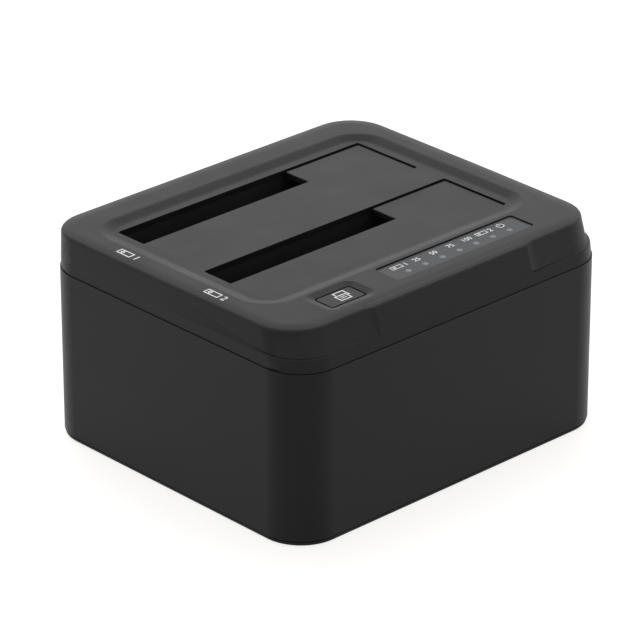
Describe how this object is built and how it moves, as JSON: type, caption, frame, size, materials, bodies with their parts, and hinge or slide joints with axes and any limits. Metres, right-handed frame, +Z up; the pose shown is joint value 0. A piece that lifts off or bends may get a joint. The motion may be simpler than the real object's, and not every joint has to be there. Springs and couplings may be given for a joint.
{
  "type": "hard drive docking station",
  "caption": "Black box-shaped docking station whose top slots take bare hard drives upright, with spring flaps, a button, indicator lights and rear sockets.",
  "frame": {"origin": "middle of the body on the surface that the feet stand on", "axes": "+X along the slots to the right, +Y from the front to the back, +Z up"},
  "size_m": [0.1354, 0.1184, 0.0713],
  "materials": {
    "shell_plastic": "fine spark texture, satin black",
    "flap_plastic": "fine spark texture, satin black",
    "window_plastic": "grey film, low gloss",
    "light_plastic": "clear moulding seen against black",
    "steel": "plated steel",
    "circuit_board": "green solder mask",
    "socket_plastic": "black connector plastic",
    "contact_metal": "gold plated contacts",
    "can_metal": "drawn cans",
    "foot_rubber": "soft black pads",
    "ribbon": "white flat cable"
  },
  "bodies": {
    "housing": {"lower_housing": "shell_plastic", "base_plate": "shell_plastic", "top_cover": "shell_plastic", "led_window": "window_plastic", "light_pipes": "light_plastic", "tact_switch": "steel", "indicator_board": "circuit_board", "indicator_leds": "light_plastic", "indicator_screws": "steel", "flap_pin_1": "steel", "flap_pin_2": "steel", "flap_spring_1": "steel", "flap_spring_2": "steel", "bay_well_1": "shell_plastic", "bay_well_2": "shell_plastic", "well_screws": "steel", "sata_socket_1": "socket_plastic", "sata_socket_2": "socket_plastic", "sata_contacts_1": "contact_metal", "sata_contacts_2": "contact_metal", "main_board": "circuit_board", "board_chips": "socket_plastic", "board_capacitors": "can_metal", "board_screws": "steel", "usb_shell": "steel", "usb_tongue": "socket_plastic", "dc_jack": "socket_plastic", "dc_pin": "steel", "power_switch": "socket_plastic", "rubber_feet": "foot_rubber", "base_screws": "steel", "ribbon_cable": "ribbon", "ribbon_headers": "socket_plastic"},
    "flap_1": {"flap_1": "flap_plastic"},
    "flap_2": {"flap_2": "flap_plastic"},
    "clone_button": {"clone_button": "flap_plastic", "tact_plunger": "socket_plastic"},
    "power_rocker": {"power_rocker": "shell_plastic"}
  },
  "joints": [
    {"name": "flap_1_hinge", "type": "hinge", "parent": "housing", "child": "flap_1", "pos_m": [0, 0.0089, 0.0656], "axis": [-1, 0, 0], "range_deg": [0, 90], "stiffness_Nm_per_rad": 0.004, "springref_deg": -85.94, "deforming": ["flap_spring_1"]},
    {"name": "flap_2_hinge", "type": "hinge", "parent": "housing", "child": "flap_2", "pos_m": [0, -0.0313, 0.0656], "axis": [-1, 0, 0], "range_deg": [0, 90], "stiffness_Nm_per_rad": 0.004, "springref_deg": -85.94, "deforming": ["flap_spring_2"]},
    {"name": "clone_button_press", "type": "slide", "parent": "housing", "child": "clone_button", "axis": [0, 0, -1], "range_m": [0, 0.0006], "stiffness_N_per_m": 800, "springref_m": -0.0006},
    {"name": "power_rocker_tilt", "type": "hinge", "parent": "housing", "child": "power_rocker", "pos_m": [-0.036, 0.0558, 0.0154], "axis": [0, 0, 1], "range_deg": [0, 18]}
  ]
}
